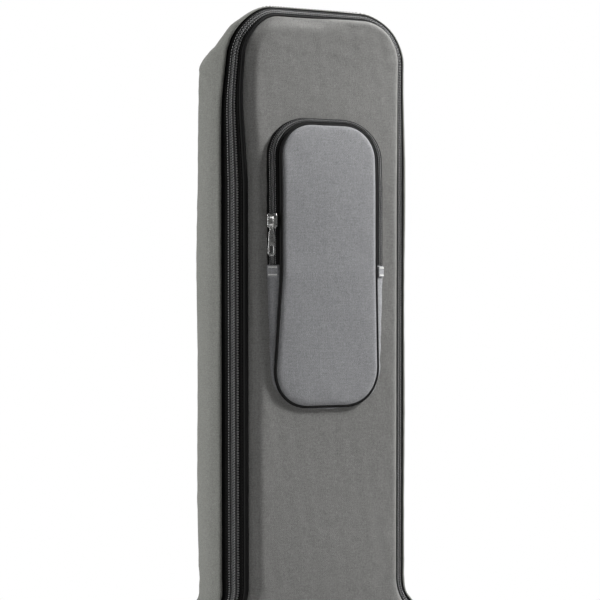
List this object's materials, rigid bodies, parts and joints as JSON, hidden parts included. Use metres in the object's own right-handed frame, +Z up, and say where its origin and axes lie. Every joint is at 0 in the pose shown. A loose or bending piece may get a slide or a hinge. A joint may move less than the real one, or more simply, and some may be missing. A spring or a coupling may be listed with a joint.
{
  "type": "padded gig bag",
  "caption": "Tall padded soft case for a guitar, with a zip-round hinged lid, a raised headstock pocket, a body pocket, a side carry handle and shoulder straps.",
  "frame": {"origin": "middle of the base bumper's underside, on the floor under the bag", "axes": "+X across the bag towards the handle and the hinge side, -Y out of the lid, +Z up along the neck"},
  "size_m": [0.4346, 0.1453, 1.042],
  "materials": {
    "grey_fabric": "plain woven polyester, matt",
    "foam": "closed-cell foam, matt",
    "lining": "brushed nylon, matt",
    "black_tape": "woven tape, matt",
    "black_coil": "nylon coil, satin",
    "piping": "covered cord, satin",
    "webbing": "woven webbing, matt",
    "slider_metal": "nickel plated, polished",
    "black_plastic": "moulded, satin",
    "rubber": "ribbed, matt"
  },
  "bodies": {
    "base": {"back_panel": "grey_fabric", "back_foam": "foam", "back_lining": "lining", "gusset": "grey_fabric", "gusset_foam": "foam", "gusset_lining": "lining", "base_zip_tape": "black_tape", "base_zip_coil": "black_coil", "hinge_strip": "black_tape", "zip_end_tabs": "grey_fabric", "base_bumper": "rubber", "neck_rest": "lining", "handle_patches": "webbing", "strap_yoke": "grey_fabric", "left_shoulder_pad": "grey_fabric", "right_shoulder_pad": "grey_fabric", "left_strap_webbing": "webbing", "right_strap_webbing": "webbing", "left_ladder_lock": "black_plastic", "right_ladder_lock": "black_plastic", "strap_tabs": "grey_fabric", "hang_loop_patch": "grey_fabric"},
    "lid": {"lid_panel": "grey_fabric", "lid_foam": "foam", "lid_lining": "lining", "lid_piping": "piping", "lid_zip_tape": "black_tape", "lid_zip_coil": "black_coil", "head_pocket_gusset": "grey_fabric", "head_pocket_face": "grey_fabric", "head_pocket_piping": "piping", "head_pocket_base_zip": "black_coil", "head_pocket_end_tabs": "grey_fabric", "body_pocket_gusset": "grey_fabric", "body_pocket_face": "grey_fabric", "body_pocket_piping": "piping", "body_pocket_base_zip": "black_coil", "body_pocket_end_tabs": "grey_fabric"},
    "head_flap": {"head_flap_face": "grey_fabric", "head_flap_piping": "piping", "head_flap_zip": "black_coil"},
    "head_slider": {"head_pocket_slider": "slider_metal"},
    "head_pull": {"head_pocket_pull": "slider_metal"},
    "body_flap": {"body_flap_face": "grey_fabric", "body_flap_piping": "piping", "body_flap_zip": "black_coil"},
    "body_slider": {"body_pocket_slider": "slider_metal"},
    "body_pull": {"body_pocket_pull": "slider_metal"},
    "upper_slider": {"upper_slider": "slider_metal"},
    "upper_pull": {"upper_slider_pull": "slider_metal"},
    "lower_slider": {"lower_slider": "slider_metal"},
    "lower_pull": {"lower_slider_pull": "slider_metal"},
    "handle": {"handle_webbing": "webbing", "handle_grip": "webbing"},
    "hang_loop": {"hang_loop": "webbing"}
  },
  "joints": [
    {"name": "lid_open", "type": "hinge", "parent": "base", "child": "lid", "pos_m": [0.1873, -0.0305, 0.18], "axis": [0, 0, 1], "range_deg": [0, 120]},
    {"name": "head_flap_open", "type": "hinge", "parent": "lid", "child": "head_flap", "pos_m": [0, -0.0539, 0.793], "axis": [1, 0, 0], "range_deg": [0, 110]},
    {"name": "head_slider_run", "type": "slide", "parent": "head_flap", "child": "head_slider", "axis": [0, 0, 1], "range_m": [0, 0.045]},
    {"name": "head_pull_swing", "type": "hinge", "parent": "head_slider", "child": "head_pull", "pos_m": [-0.06033, -0.05309, 0.832], "axis": [-0.8192, 0.5735, 0], "range_deg": [0, 150]},
    {"name": "body_flap_open", "type": "hinge", "parent": "lid", "child": "body_flap", "pos_m": [0, -0.0649, 0.176], "axis": [1, 0, 0], "range_deg": [0, 110]},
    {"name": "body_slider_run", "type": "slide", "parent": "body_flap", "child": "body_slider", "axis": [0, 0, 1], "range_m": [0, 0.028]},
    {"name": "body_pull_swing", "type": "hinge", "parent": "body_slider", "child": "body_pull", "pos_m": [-0.11472, -0.0564, 0.215], "axis": [-0.5431, 0.8397, 0], "range_deg": [0, 150]},
    {"name": "upper_slider_run", "type": "hinge", "parent": "lid", "child": "upper_slider", "pos_m": [-0.06211, -0.02849, 0.139], "axis": [0, 1, 0], "range_deg": [0, 20]},
    {"name": "upper_pull_swing", "type": "hinge", "parent": "upper_slider", "child": "upper_pull", "pos_m": [-0.18169, -0.03195, 0.09284], "axis": [0.5628, -0.7947, 0.2274], "range_deg": [0, 150]},
    {"name": "lower_slider_run", "type": "hinge", "parent": "lid", "child": "lower_slider", "pos_m": [-0.06211, -0.02849, 0.139], "axis": [0, -1, 0], "range_deg": [0, 40]},
    {"name": "lower_pull_swing", "type": "hinge", "parent": "lower_slider", "child": "lower_pull", "pos_m": [-0.17267, -0.03195, 0.07415], "axis": [-0.5283, 0.7947, -0.2989], "range_deg": [0, 150]},
    {"name": "handle_swing", "type": "hinge", "parent": "base", "child": "handle", "pos_m": [0.18985, 0.012, 0.29988], "axis": [-0.1564, 0, 0.9877], "range_deg": [-25, 25]},
    {"name": "hang_loop_swing", "type": "hinge", "parent": "base", "child": "hang_loop", "pos_m": [0, 0.053, 1.012], "axis": [1, 0, 0], "range_deg": [0, 170]}
  ]
}
